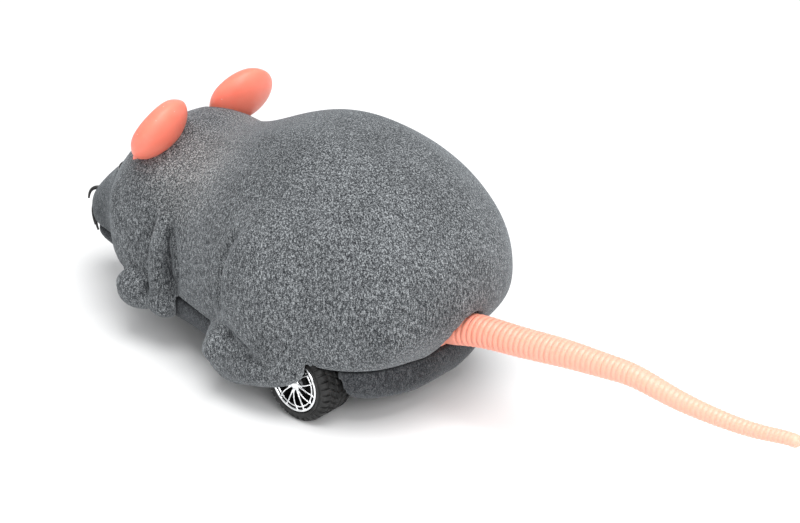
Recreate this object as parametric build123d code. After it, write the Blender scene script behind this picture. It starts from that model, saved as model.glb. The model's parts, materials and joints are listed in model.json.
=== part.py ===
"""Clockwork mouse: a flocked toy mouse that runs on a spring motor.

Millimetres, nose along +X, the mouse's left along +Y, +Z up.
The model is drawn with the floor at z = 0 and x measured from near the rear axle, and
every piece is moved along X as it is written, so that the origin lies
on the floor under the middle of the whole toy, tail included.
"""
import os
from math import acos, cos, degrees, pi, radians, sin, tan

from build123d import *

os.makedirs("parts", exist_ok=True)

# ---------------------------------------------------------------- driving sizes
PARTING_Z = 17.0          # lower edge of the top casing
WALL = 1.8                # casing wall
PAN_SETBACK = 0.8         # the belly pan's side stands this far inside the casing's
PAN_GAP = 0.8             # open joint between the casing's edge and the pan's
PAN_FLOOR = 5.0           # underside of the belly
LIP_SETBACK = 2.9         # the pan's locating lip inside the casing, from the casing's outside
LIP_THICKNESS = 0.9

# Trunk stations, tail end to nose: x, half width, top, widest height, bottom
TRUNK = [
    (-30.0, 7.5, 41.0, 34.0, 29.2),
    (-27.6, 16.0, 46.8, 32.4, 24.4),
    (-23.2, 22.8, 52.2, 30.4, 18.8),
    (-16.0, 28.3, 58.0, 28.5, 12.8),
    (-8.0, 31.6, 62.6, 27.5, 9.0),
    (4.0, 33.6, 66.3, 27.0, 7.0),
    (17.0, 33.0, 66.4, 27.0, 5.5),
    (30.0, 30.5, 62.5, 27.0, 5.5),
    (41.0, 27.2, 57.5, 27.0, 5.5),
    (50.0, 25.4, 55.2, 28.0, 6.0),
    (60.0, 25.4, 55.8, 29.5, 6.5),
    (67.5, 24.4, 53.8, 29.5, 8.0),
    (73.5, 21.4, 49.6, 29.0, 9.5),
    (79.0, 16.2, 43.8, 28.0, 11.5),
    (84.5, 12.0, 38.2, 26.5, 12.8),
    (90.0, 9.9, 33.4, 24.4, 13.6),
    (95.0, 7.6, 28.6, 22.2, 14.6),
    (98.2, 4.6, 24.8, 20.8, 16.4),
]
TAIL_END = (-31.0, 34.5)  # x and z of the rump's rearmost point
NOSE_END = (99.6, 20.4)   # x and z of the muzzle's foremost point
POWER_ABOVE = 2.15        # superellipse power of a station above its widest height
POWER_BELOW = 2.6         # and below it

# Belly pan: x and lowest height of its stations; its sides follow the trunk
PAN_BOTTOM = [
    (-21.2, 12.4), (-20.3, 9.4), (-18.6, 7.2), (-15.5, 5.7), (-10.0, 4.8), (0.0, 4.5), (14.0, 4.5),
    (30.0, 4.5), (46.0, 4.8), (58.0, 5.6), (70.0, 7.4), (80.0, 9.2), (88.0, 10.6), (95.6, 12.0),
]
PAN_POWER = 3.0
QUADRANT_STEPS = 4

# Limbs, left side, as ellipsoids that grow out of the trunk
HAUNCH = dict(centre=(11, 22.5, 27), radii=(20, 14, 28))
HIND_FOOT = dict(centre=(13.5, 29.6, 12.4), radii=(17, 6.5, 6), tilt=(0, 13, 0))
ANKLE = dict(centre=(21.3, 28.8, 13.2), radii=(9.5, 6.8, 9.4))
ARM = dict(centre=(51.8, 22, 24.5), radii=(5, 6.5, 16), tilt=(0, -5, 0))
FORE_PAW = dict(centre=(60.3, 23.5, 14.9), radii=(8.4, 4.8, 5.4), tilt=(0, 18, 0))
ELBOW = dict(centre=(52.6, 22.5, 14.5), radii=(5.5, 5.5, 5.2))

# Face and ears
EAR_CENTRE = (60.2, 14.8, 56.8)
EAR_RADII = (3.2, 8.9, 9.4)
EAR_TILT = (0, -33, 11)
EAR_STEM_RADIUS = 2.2
EAR_STEM_DEPTH = 14.0     # from the ear's centre to the end of its plug
EYE_CENTRE = (81.0, 8.7, 37.4)
EYE_RADIUS = 2.5
NOSE_CENTRE = (99.0, 0.0, 20.8)
NOSE_RADIUS = 2.0
WHISKER_RADIUS = 0.4
# Root, middle and tip of each left whisker
WHISKERS = [
    ((93.5, 5.0, 25.4), (97.5, 9.3, 25.6), (100.0, 11.0, 21.8)),
    ((94.0, 4.6, 22.6), (97.0, 9.6, 20.2), (97.4, 10.6, 14.2)),
    ((93.0, 5.0, 20.0), (95.2, 9.6, 17.2), (94.6, 10.2, 12.6)),
]
WHISKER_ROOT_LENGTH = 2.5

# Tail: centreline points x, z and the diameter there, root to tip
TAIL_LINE = [
    (-20.2, 22.0, 8.0), (-26.0, 23.1, 8.2), (-32.1, 24.4, 8.0), (-42.0, 25.4, 7.5),
    (-52.9, 26.6, 7.1), (-63.5, 27.5, 6.4), (-75.2, 28.1, 5.6), (-83.2, 27.1, 5.1),
    (-91.2, 26.0, 4.6), (-99.1, 25.6, 4.1), (-106.8, 25.7, 3.7), (-114.6, 26.6, 3.4),
    (-120.1, 27.2, 3.2),
]
TAIL_FLANGE_RADIUS = 5.4
TAIL_FLANGE = (-20.2, -18.8)   # its x extent
TAIL_NOTCH_RADIUS = 4.9
TAIL_NOTCH_Z = 23.7

# Running gear
AXLE_X, AXLE_Z = 2.3, 10.0
AXLE_RADIUS = 1.5
WHEEL_RADIUS = 10.0
TYRE_INNER_RADIUS = 7.3
RIM_RADIUS = 7.2
TYRE = (18.2, 29.8)       # y extent of the left tyre
RIM_BACK = 29.2           # y of the wheel body's outer face, which carries the rim
SPOKE_PAIRS = 7
WELL_RADIUS = 11.0
ARCH_RADIUS = 12.6        # opening in the belly pan round each wheel
HOUSING = (15.0, 16.8)    # y extent of the wall between wheel and motor
BUSH_RADIUS = 2.4
BUSH = (14.6, 17.2)
PINION_WINDOW = ((-3.7, 8.3), (5.0, 8.6), (2.0, 8.0))   # slot in the floor under the axle's pinion
RUNNING_CLEARANCE = 0.05
FIT_CLEARANCE = 0.02

CASTER_X = 69.0           # swivel axis
CASTER_TRAIL = 3.0
CASTER_RADIUS = 4.5
CASTER_RECESS_RADIUS = 8.2
CASTER_CEILING = (11.6, 13.4)
CASTER_STEM_RADIUS = 1.5
CASTER_AXLE_RADIUS = 0.8

# Spring motor
MODULE = 0.6
PRESSURE_ANGLE = 25.0
TOOTH_THINNING = 0.10     # of each tooth, at the pitch circle, for backlash
ADDENDUM = 0.8            # in modules
DEDENDUM = 1.1
AXLE_TEETH, THIRD_TEETH, THIRD_PINION_TEETH = 14, 24, 12
SECOND_TEETH, SECOND_PINION_TEETH, BARREL_TEETH = 36, 12, 40
PLATE_INNER = 11.0        # y of the motor plates' inner faces
PLATE_THICKNESS = 1.5
ARBOR_RADIUS = 0.8
WINDING_RADIUS = 1.8
PILLAR_RADIUS = 1.5
PILLARS = [(49.8, 38.0), (49.8, 17.0), (22.8, 38.5), (-1.2, 18.5), (22.3, 9.7)]
PLATE_OUTLINE = [(-4.2, 7.6), (-4.2, 21.0), (8.3, 31.0), (19.3, 42.0), (32.3, 43.0), (52.8, 41.0),
                 (52.8, 11.0), (32.3, 7.6)]
LUG = dict(x=(46.3, 52.3), y=(12.5, 17.9), z=(11.0, 12.5))
LUG_HOLE = (49.3, 15.6)
MOTOR_BAY = ((-5.2, 53.6), (-13.3, 13.3), (6.8, 14.0))   # room in the pan for the plates
LUG_BAY = ((45.8, 52.8), (-18.4, 18.4), (10.9, 14.0))    # and for their lugs
RATCHET_TEETH = 12
RATCHET_CREST, RATCHET_ROOT = 5.2, 4.3
RATCHET_Y = (-14.2, -12.9)
RATCHET_PHASE = 86.5      # angle of a tooth's steep face
KEY_OUTER_Y = -36.4
KEY_SPAN = 9.5
SPRING_TURNS = 8
SPRING_THICKNESS = 0.35

# Screws that close the casing: x and y of the left-hand ones
SHELL_SCREWS = [(-14.6, 9.0, 55.6), (57.0, 14.0, 49.4)]   # x, y and the top of the boss
BOSS_RADIUS = 2.6
BOSS_FOOT = 18.9
COLUMN_TOP = 18.8
SCREW_RADIUS = 1.1
SCREW_SEAT = 8.4


def quadrant(x, across, height, widest, power, side, up):
    """A quarter of a superellipse in the plane at x, from its side to its top or bottom."""
    points = []
    for step in range(QUADRANT_STEPS + 1):
        turn = step / QUADRANT_STEPS * pi / 2
        y = side * across * abs(cos(turn)) ** (2 / power)
        z = widest + up * height * sin(turn) ** (2 / power)
        points.append(Vector(x, y, z))
    return Edge.make_spline(points, tangents=[Vector(0, 0, up), Vector(0, -side, 0)])


def station_wire(station, powers, inset=0.0):
    """One closed outline across x, drawn in by inset."""
    x, half_width, top, widest, bottom = station
    across = half_width - inset
    heights = {1: top - widest - inset, -1: widest - bottom - inset}
    corners = ((1, 1), (-1, 1), (-1, -1), (1, -1))
    return Wire([quadrant(x, across, heights[up], widest, powers[up], side, up)
                 for side, up in corners])


def hull(stations, powers, ends, inset=0.0):
    """A smooth closed body through the stations, pointed at both ends, drawn in by inset."""
    wires = []
    for station in stations:
        x, half_width, top, widest, bottom = station
        slimmest = min(half_width, top - widest, widest - bottom) - inset
        if slimmest > 2.0:
            wires.append(station_wire(station, powers, inset))
    (rear_x, rear_z), (front_x, front_z) = ends
    rear = Vertex(rear_x + inset, 0, rear_z)
    front = Vertex(front_x - inset, 0, front_z)
    return Solid.make_loft([rear, *wires, front])


def trunk(inset=0.0):
    """The smooth trunk and head."""
    return hull(TRUNK, {1: POWER_ABOVE, -1: POWER_BELOW}, (TAIL_END, NOSE_END), inset)


def trunk_station(x):
    """The trunk's station values at x, taken linearly between its stations."""
    for low, high in zip(TRUNK, TRUNK[1:]):
        if low[0] <= x <= high[0]:
            share = (x - low[0]) / (high[0] - low[0])
            return tuple(a + share * (b - a) for a, b in zip(low, high))
    raise ValueError(f"x = {x} lies past the trunk's stations")


def edge_half_width(x):
    """Half the width of the casing's lower edge at x."""
    _, half_width, _, widest, bottom = trunk_station(x)
    drop = (widest - PARTING_Z) / (widest - bottom)
    return half_width * max(1 - abs(drop) ** POWER_BELOW, 0.05) ** (1 / POWER_BELOW)


def pan(inset, top):
    """The belly pan as a solid boat, flat on top and at its ends, drawn in by inset."""
    rear, front = PAN_BOTTOM[0][0], PAN_BOTTOM[-1][0]
    shrink = 1 - 2 * inset / (front - rear)
    wires = []
    for x, bottom in PAN_BOTTOM:
        across = edge_half_width(x) - PAN_SETBACK - inset
        depth = top - bottom - inset
        place = rear + inset + (x - rear) * shrink
        sides = [quadrant(place, across, depth, top, PAN_POWER, side, -1) for side in (1, -1)]
        wires.append(Wire([*sides, Edge.make_line((place, -across, top), (place, across, top))]))
    return Solid.make_loft(wires)


def ellipsoid(centre, radii, tilt=(0, 0, 0), grow=0.0):
    """An ellipsoid with its own axes turned by tilt, in degrees about X, Y and Z."""
    ball = scale(Sphere(1.0), by=tuple(float(radius + grow) for radius in radii))
    return Pos(*centre) * Rot(*tilt) * ball


def mirrored(shape):
    """The same shape on the other side of the middle."""
    return mirror(shape, about=Plane.XZ)


def post(x, y, z0, z1, radius):
    """An upright cylinder."""
    return Pos(x, y, (z0 + z1) / 2) * Cylinder(radius, z1 - z0)


def rod(x, z, y0, y1, radius):
    """A cylinder along Y."""
    return Pos(x, (y0 + y1) / 2, z) * Rot(90, 0, 0) * Cylinder(radius, y1 - y0)


def block(x, y, z):
    """A box between the limits given on each axis."""
    middle = [(low + high) / 2 for low, high in (x, y, z)]
    size = [high - low for low, high in (x, y, z)]
    return Pos(*middle) * Box(*size)


def slab(sketch, y0, y1):
    """A sketch drawn in x and z, made solid from y0 to y1."""
    return extrude(Plane.XZ.offset(-y0) * sketch, amount=y0 - y1)


def outline(points):
    return make_face(Polyline(*points, close=True))


def above(z):
    return block((-60, 140), (-60, 60), (z, z + 100))


def below(z):
    return block((-60, 140), (-60, 60), (z - 100, z))


def whole(shape):
    """The one solid of a shape that must be in one piece."""
    solids = sorted(shape.solids(), key=lambda solid: solid.volume)
    return solids[-1]


# ---------------------------------------------------------------- casing
def ear(grow=0.0):
    """The left ear: a thick rounded disc with a plug that goes down into the head."""
    disc = ellipsoid(EAR_CENTRE, EAR_RADII, EAR_TILT, grow)
    stem = Cylinder(EAR_STEM_RADIUS + grow, EAR_STEM_DEPTH)
    stem = Pos(*EAR_CENTRE) * Rot(*EAR_TILT) * Pos(0, 0, -EAR_STEM_DEPTH / 2) * stem
    return disc + stem


def eye(grow=0.0):
    return Pos(*EYE_CENTRE) * Sphere(EYE_RADIUS + grow)


def nose(grow=0.0):
    return Pos(*NOSE_CENTRE) * Sphere(NOSE_RADIUS + grow)


def whiskers(grow=0.0):
    """Three left whiskers, each with a straight root and a drooping bend."""
    solids = []
    for root, middle, tip in WHISKERS:
        path = Spline(root, middle, tip)
        start = path.position_at(0)
        section = Plane(start, z_dir=path.tangent_at(0)) * Circle(WHISKER_RADIUS + grow)
        solids.append(sweep(section, path=path))
    return solids


def tail():
    """The tapering tail, its flange inside the casing, and its rounded tip."""
    wires = []
    for index, (x, z, diameter) in enumerate(TAIL_LINE):
        before = TAIL_LINE[max(index - 1, 0)]
        after = TAIL_LINE[min(index + 1, len(TAIL_LINE) - 1)]
        along = Vector(after[0] - before[0], 0, after[1] - before[1])
        wires.append(Plane((x, 0, z), x_dir=(0, 1, 0), z_dir=along) * Wire.make_circle(diameter / 2))
    body = Solid.make_loft(wires)
    root_x, root_z, _ = TAIL_LINE[0]
    tip_x, tip_z, tip_diameter = TAIL_LINE[-1]
    low, high = TAIL_FLANGE
    flange = Pos((low + high) / 2, 0, root_z) * Rot(0, 90, 0)
    body = body + flange * Cylinder(TAIL_FLANGE_RADIUS, high - low)
    return body + Pos(tip_x, 0, tip_z) * Sphere(tip_diameter / 2)


def tail_notch():
    """The opening that the tail leaves by, open down to the casing's edge."""
    width = TAIL_NOTCH_RADIUS
    ring = Pos(-27, 0, TAIL_NOTCH_Z) * Rot(0, 90, 0) * Cylinder(width, 20)
    return ring + block((-37, -17), (-width, width), (PARTING_Z - 2, TAIL_NOTCH_Z))


def wheel_well():
    """The room that the left wheel needs inside the casing."""
    inner, outer = TYRE[0] - 0.8, TYRE[1] - 0.4
    wide = rod(AXLE_X, AXLE_Z, inner, outer, WELL_RADIUS)
    return wide + rod(AXLE_X, AXLE_Z, outer, TYRE[1] + 0.7, WELL_RADIUS - 0.7)


def upper_shell():
    """The flocked top casing with its haunches, feet, arms and screw bosses."""
    skin = trunk() - below(PARTING_Z)
    haunch = ellipsoid(**HAUNCH) - below(PARTING_Z)
    limbs = ellipsoid(**HIND_FOOT) + ellipsoid(**ANKLE) + ellipsoid(**ARM)
    limbs = limbs + ellipsoid(**FORE_PAW) + ellipsoid(**ELBOW)
    limbs = limbs - pan(-0.5, PARTING_Z) - wheel_well()
    left = haunch + limbs
    shell = skin + left + mirrored(left)
    shell = shell - trunk(WALL)
    hollow = ellipsoid(**HAUNCH, grow=-WALL) - below(PARTING_Z)
    for cutter in (hollow, wheel_well(), ear(0.05), eye(0.05), *whiskers(FIT_CLEARANCE)):
        shell = shell - cutter - mirrored(cutter)
    shell = shell - tail_notch() - nose(0.05)
    for x, y, top in SHELL_SCREWS:
        boss = post(x, y, BOSS_FOOT, top, BOSS_RADIUS)
        boss = boss - post(x, y, BOSS_FOOT, BOSS_FOOT + 9, SCREW_RADIUS + FIT_CLEARANCE)
        shell = shell + boss + mirrored(boss)
    bush_x, bush_z = BARREL
    return whole(shell - rod(bush_x, bush_z, -40, -15, 3.25))


def pan_blank():
    """The belly pan as a solid, with the block that its locating lip is cut from."""
    lip = pan(LIP_SETBACK - PAN_SETBACK, COLUMN_TOP)
    return pan(0.0, PARTING_Z - PAN_GAP) + lip - below(PAN_FLOOR)


def pan_room():
    """The hollow inside the pan, less the housings, columns and caster boss that stand in it."""
    room = pan(LIP_SETBACK - PAN_SETBACK + LIP_THICKNESS, COLUMN_TOP + 0.5)
    room = room + block(*MOTOR_BAY) + block(*LUG_BAY) - below(PAN_FLOOR + WALL)
    housing = rod(AXLE_X, AXLE_Z, HOUSING[0], 40, ARCH_RADIUS + WALL)
    keepers = [housing, post(*LUG_HOLE, 0, LUG["z"][0], 2.6)]
    keepers += [post(x, y, 0, 40, 3.2) for x, y, _ in SHELL_SCREWS]
    for keeper in keepers:
        room = room - keeper - mirrored(keeper)
    return room - post(CASTER_X, 0, 0, CASTER_CEILING[1], CASTER_RECESS_RADIUS + 1.6)


def lower_shell():
    """The belly pan: floor, sides, locating lip, wheel housings, columns and caster recess."""
    shell = pan_blank() - pan_room()
    housing_low, housing_high = HOUSING[0] - 1, HOUSING[1] + 1
    slot_radius = BUSH_RADIUS + RUNNING_CLEARANCE
    slot = rod(AXLE_X, AXLE_Z, housing_low, housing_high, slot_radius)
    slot_x = (AXLE_X - slot_radius, AXLE_X + slot_radius)
    slot = slot + block(slot_x, (housing_low, housing_high), (AXLE_Z, 30))
    arch = rod(AXLE_X, AXLE_Z, HOUSING[1], 45, ARCH_RADIUS)
    for cutter in (arch, slot, post(*LUG_HOLE, 7.2, 20, 1.0 + FIT_CLEARANCE)):
        shell = shell - cutter - mirrored(cutter)
    for x, y, _ in SHELL_SCREWS:
        for side in (1, -1):
            screw_hole = post(x, side * y, 2, SCREW_SEAT, 2.3)
            screw_hole = screw_hole + post(x, side * y, 2, 30, SCREW_RADIUS + 0.1)
            shell = shell - screw_hole
    shell = shell - block(*PINION_WINDOW)
    shell = shell - post(CASTER_X, 0, 0, CASTER_CEILING[0], CASTER_RECESS_RADIUS)
    shell = shell - post(CASTER_X, 0, 0, 30, CASTER_STEM_RADIUS + RUNNING_CLEARANCE)
    under_tail = block((-40, -13.5), (-7.0, 7.0), (PARTING_Z - PAN_GAP, 30))
    return whole(shell - under_tail)


def shell_screws():
    screws = []
    for x, y, _ in SHELL_SCREWS:
        for side in (1, -1):
            middle = side * y
            head = post(x, middle, SCREW_SEAT - 1.6, SCREW_SEAT, 2.0)
            slot = block((x - 1.5, x + 1.5), (middle - 0.25, middle + 0.25), (0, SCREW_SEAT - 1.0))
            screws.append(head - slot + post(x, middle, SCREW_SEAT, BOSS_FOOT + 7, SCREW_RADIUS))
    return screws


# ---------------------------------------------------------------- spring motor
def polar(centre, radius, angle):
    """The point at radius and angle in degrees from a centre in x and z."""
    turn = radians(angle)
    return (centre[0] + radius * cos(turn), centre[1] + radius * sin(turn))


def pitch_radius(teeth):
    return MODULE * teeth / 2


def gear_sketch(centre, teeth, phase):
    """A spur gear's outline with one tooth centred on the angle phase."""
    pitch = pitch_radius(teeth)
    base = pitch * cos(radians(PRESSURE_ANGLE))
    root, tip = pitch - DEDENDUM * MODULE, pitch + ADDENDUM * MODULE
    half_at_pitch = pi / (2 * teeth) - TOOTH_THINNING / (2 * pitch)

    def half_angle(radius):
        involute = tan(radians(PRESSURE_ANGLE)) - radians(PRESSURE_ANGLE)
        contact = acos(base / max(radius, base))
        return degrees(half_at_pitch + involute - (tan(contact) - contact))

    radii = (root, base, (base + tip) / 2, tip) if base > root else (root, pitch, tip)
    points = []
    for tooth in range(teeth):
        middle = phase + tooth * 360 / teeth
        points += [polar(centre, radius, middle - half_angle(radius)) for radius in radii]
        points += [polar(centre, radius, middle + half_angle(radius)) for radius in reversed(radii)]
    return outline(points)


def meshing_phase(angle, first_phase, first_teeth, second_teeth):
    """The phase of a second gear, set at angle from a first, that puts tooth in gap."""
    share = (angle - first_phase) * first_teeth / 360 % 1
    return angle + 180 - (0.5 - share) * 360 / second_teeth


ANGLES = {"third": 50.0, "second": 23.4, "barrel": 9.6}   # of each shaft from the last
AXLE = (AXLE_X, AXLE_Z)
THIRD = polar(AXLE, MODULE * (AXLE_TEETH + THIRD_TEETH) / 2, ANGLES["third"])
SECOND = polar(THIRD, MODULE * (THIRD_PINION_TEETH + SECOND_TEETH) / 2, ANGLES["second"])
BARREL = polar(SECOND, MODULE * (SECOND_PINION_TEETH + BARREL_TEETH) / 2, ANGLES["barrel"])
THIRD_PHASE = meshing_phase(ANGLES["third"], 0, AXLE_TEETH, THIRD_TEETH)
SECOND_PHASE = meshing_phase(ANGLES["second"], 0, THIRD_PINION_TEETH, SECOND_TEETH)
BARREL_PHASE = meshing_phase(ANGLES["barrel"], 0, SECOND_PINION_TEETH, BARREL_TEETH)


def gear(centre, teeth, phase, y0, y1, bore):
    """A gear with a hole that fits its shaft."""
    wheel = slab(gear_sketch(centre, teeth, phase), y0, y1)
    return wheel - rod(*centre, y0 - 1, y1 + 1, bore + FIT_CLEARANCE)


def spoked(wheel, centre, hub_radius, rim_inner, y0, y1, spokes):
    """A gear wheel with windows cut between its hub and its rim."""
    width = 1.6
    window = Pos(*centre) * (Circle(rim_inner) - Circle(hub_radius))
    for index in range(spokes):
        arm = Rectangle(2 * rim_inner, width, align=(Align.MIN, Align.CENTER))
        window = window - Pos(*centre) * Rot(0, 0, index * 360 / spokes) * arm
    return wheel - slab(window, y0 - 1, y1 + 1)


def second_wheel():
    y0, y1 = 3.0, 4.4
    return spoked(gear(SECOND, SECOND_TEETH, SECOND_PHASE, y0, y1, ARBOR_RADIUS),
                  SECOND, 3.2, 8.6, y0, y1, 5)


def third_wheel():
    y0, y1 = 6.0, 7.6
    return spoked(gear(THIRD, THIRD_TEETH, THIRD_PHASE, y0, y1, ARBOR_RADIUS),
                  THIRD, 2.4, 5.4, y0, y1, 4)


def barrel():
    """The going barrel: a toothed disc with a drum on one side, open at the other."""
    disc = slab(gear_sketch(BARREL, BARREL_TEETH, BARREL_PHASE), 0.0, 1.6)
    drum = rod(*BARREL, -9.2, 0.0, 11.0) - rod(*BARREL, -9.2, 0.0, 10.2)
    return disc + drum - rod(*BARREL, -1, 3, ARBOR_RADIUS * 2 + RUNNING_CLEARANCE)


def barrel_cover():
    return rod(*BARREL, -10.0, -9.2, 11.0) - rod(*BARREL, -11, -9, 2.2 + RUNNING_CLEARANCE)


def mainspring():
    """A spiral strip, loose in the drum between the arbor and the drum's wall."""
    inner, outer = 2.75, 9.75
    y0, y1 = -8.9, -0.3
    steps = SPRING_TURNS * 12

    def spiral(offset):
        points = []
        for step in range(steps + 1):
            radius = inner + (outer - inner) * step / steps + offset
            x, z = polar(BARREL, radius, 30 * step)
            points.append((x, z))
        return points

    inside, outside = spiral(0), spiral(SPRING_THICKNESS)
    strip = [Spline(*inside), Line(inside[-1], outside[-1]),
             Spline(*outside), Line(outside[0], inside[0])]
    return slab(make_face(strip), y0, y1)


def winding_arbor():
    """The stepped arbor, from its pivot in the left plate to the key."""
    steps = [(10.9, 12.4, 1.2), (1.9, 10.9, 1.4), (-0.1, 1.9, 2 * ARBOR_RADIUS),
             (-10.4, -0.1, 2.2), (-33.8, -10.4, WINDING_RADIUS)]
    shaft = rod(*BARREL, *steps[0])
    for step in steps[1:]:
        shaft = shaft + rod(*BARREL, *step)
    return shaft


def ratchet_sketch(centre):
    """Saw teeth that let the arbor wind one way only."""
    points = []
    for tooth in range(RATCHET_TEETH):
        angle = RATCHET_PHASE + tooth * 360 / RATCHET_TEETH
        points.append(polar(centre, RATCHET_ROOT, angle))
        points.append(polar(centre, RATCHET_CREST, angle))
    return outline(points)


def ratchet_wheel():
    wheel = slab(ratchet_sketch(BARREL), *RATCHET_Y)
    return wheel - rod(*BARREL, -20, 0, WINDING_RADIUS + FIT_CLEARANCE)


CLICK_PIVOT = (BARREL[0] + 10.2, BARREL[1] + 6.5)


def click():
    """The pawl, resting on the ratchet's crest."""
    nose_x, nose_z = BARREL[0] + 0.46, BARREL[1] + RATCHET_CREST + RUNNING_CLEARANCE
    pivot_x, pivot_z = CLICK_PIVOT
    arm = outline([(nose_x, nose_z), (nose_x + 0.12, nose_z + 1.5), (nose_x + 4, nose_z + 2.9),
                   (pivot_x, pivot_z + 1.7), (pivot_x, pivot_z - 1.7), (nose_x + 4, nose_z + 0.9)])
    arm = arm + Pos(pivot_x, pivot_z) * Circle(1.7)
    return slab(arm, *RATCHET_Y) - rod(*CLICK_PIVOT, -20, 0, 0.9 + RUNNING_CLEARANCE)


def click_pin():
    shank = rod(*CLICK_PIVOT, -14.3, -PLATE_INNER - 0.2, 0.9)
    return shank + rod(*CLICK_PIVOT, -14.9, -14.3, 1.5)


CLICK_POST = (BARREL[0] - 4.0, BARREL[1] + 12.0)


def click_spring():
    """A leaf that bears on the click, on a post riveted to the plate."""
    post_x, post_z = CLICK_POST
    foot = rod(post_x, post_z, -14.3, -PLATE_INNER - 0.3, 0.8)
    tip = (BARREL[0] + 4.5, BARREL[1] + RATCHET_CREST + 3.1)
    leaf = outline([(post_x, post_z + 0.3), tip, (tip[0] - 0.3, tip[1] + 0.35), (post_x, post_z + 0.7)])
    return foot + slab(leaf, -13.9, -13.1)


def arbor(centre):
    """A plain pinion arbor between the plates."""
    return rod(*centre, -PLATE_INNER - 1.4, PLATE_INNER + 1.4, ARBOR_RADIUS)


def motor_plate(side):
    """One side plate, with its foot lug and the holes for shafts, pillars and screws."""
    y0, y1 = sorted((side * PLATE_INNER, side * (PLATE_INNER + PLATE_THICKNESS)))
    sketch = outline(PLATE_OUTLINE)
    sketch = fillet(sketch.vertices(), 2.5)
    plate = slab(sketch, y0, y1)
    lug_y = sorted(side * limit for limit in LUG["y"])
    lug = block(LUG["x"], lug_y, LUG["z"]) - post(LUG_HOLE[0], side * LUG_HOLE[1], 5, 20, 1.15)
    plate = plate + lug
    barrel_bore = WINDING_RADIUS if side < 0 else 1.2
    holes = [(AXLE, AXLE_RADIUS), (THIRD, ARBOR_RADIUS), (SECOND, ARBOR_RADIUS), (BARREL, barrel_bore)]
    holes += [(pillar, 0.75) for pillar in PILLARS]
    if side < 0:
        holes += [(CLICK_PIVOT, 0.9), (CLICK_POST, 0.8)]
    for centre, radius in holes:
        plate = plate - rod(*centre, y0 - 1, y1 + 1, radius + RUNNING_CLEARANCE)
    return plate


def motor_pillars():
    tubes = []
    for centre in PILLARS:
        tube = rod(*centre, -PLATE_INNER, PLATE_INNER, PILLAR_RADIUS)
        for side in (1, -1):
            y0, y1 = sorted((side * (PLATE_INNER - 4), side * PLATE_INNER))
            tube = tube - rod(*centre, y0, y1, 0.75 + FIT_CLEARANCE)
        tubes.append(tube)
    return tubes


def motor_screws():
    """The slotted screws that hold the plates to the pillars."""
    face = PLATE_INNER + PLATE_THICKNESS
    screws = []
    for x, z in PILLARS:
        screw = rod(x, z, face, face + 0.9, 1.5) + rod(x, z, PLATE_INNER - 3.5, face, 0.75)
        screw = screw - block((x - 2, x + 2), (face + 0.5, face + 2), (z - 0.2, z + 0.2))
        screws += [screw, mirrored(screw)]
    return screws


def mount_screws():
    """The two screws that hold the motor's lugs to the belly pan."""
    x, y = LUG_HOLE
    top = LUG["z"][1]
    screw = post(x, y, top, top + 1.1, 1.9) + post(x, y, 7.6, top, 1.0)
    screw = screw - block((x - 3, x + 3), (y - 0.25, y + 0.25), (top + 0.6, top + 3))
    return [screw, mirrored(screw)]


# ---------------------------------------------------------------- key
def winding_key():
    """A flat butterfly key on a hub, outside the right flank."""
    x, z = BARREL
    hub = rod(x, z, KEY_OUTER_Y + 1.5, -30.4, 3.0)
    wing = Pos(KEY_SPAN * 0.55, 0) * Ellipse(KEY_SPAN * 0.45, 2.5)
    bow = wing + mirror(wing, about=Plane.YZ) + Rectangle(KEY_SPAN * 0.8, 2.4)
    bow = bow - Pos(KEY_SPAN * 0.58, 0) * Ellipse(2.2, 1.2) - Pos(-KEY_SPAN * 0.58, 0) * Ellipse(2.2, 1.2)
    bow = extrude(bow, amount=0.8, both=True)
    key = hub + Pos(x, KEY_OUTER_Y + 2.5, z) * Rot(0, -20, 0) * bow
    return key - rod(x, z, -33.9, -29, WINDING_RADIUS + FIT_CLEARANCE)


def key_bush():
    x, z = BARREL
    return rod(x, z, -29.8, -24.6, 3.2) - rod(x, z, -31, -20, WINDING_RADIUS + RUNNING_CLEARANCE)


# ---------------------------------------------------------------- wheels
def rear_axle():
    return rod(*AXLE, 1 - RIM_BACK, RIM_BACK - 1, AXLE_RADIUS)


def axle_pinion():
    return gear(AXLE, AXLE_TEETH, 0, 5.6, 8.0, AXLE_RADIUS)


def axle_bush():
    bush = rod(*AXLE, *BUSH, BUSH_RADIUS)
    return bush - rod(*AXLE, 10, 20, AXLE_RADIUS + RUNNING_CLEARANCE)


def wheel_core():
    """The black wheel body under the tyre, hollow on its outer face behind the spokes."""
    body = rod(*AXLE, TYRE[0] + 0.6, RIM_BACK, TYRE_INNER_RADIUS - FIT_CLEARANCE)
    body = body - rod(*AXLE, RIM_BACK - 5, RIM_BACK + 1, RIM_RADIUS - 0.9)
    hub = rod(*AXLE, TYRE[0] - 0.6, RIM_BACK - 1.4, 2.4)
    return body + hub - rod(*AXLE, 10, 30, AXLE_RADIUS + FIT_CLEARANCE)


def tyre():
    """A wide tyre with rounded shoulders."""
    body = rod(*AXLE, *TYRE, WHEEL_RADIUS)
    body = fillet(body.edges().filter_by(GeomType.CIRCLE), 1.3)
    return body - rod(*AXLE, TYRE[0] - 1, TYRE[1] + 1, TYRE_INNER_RADIUS)


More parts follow.
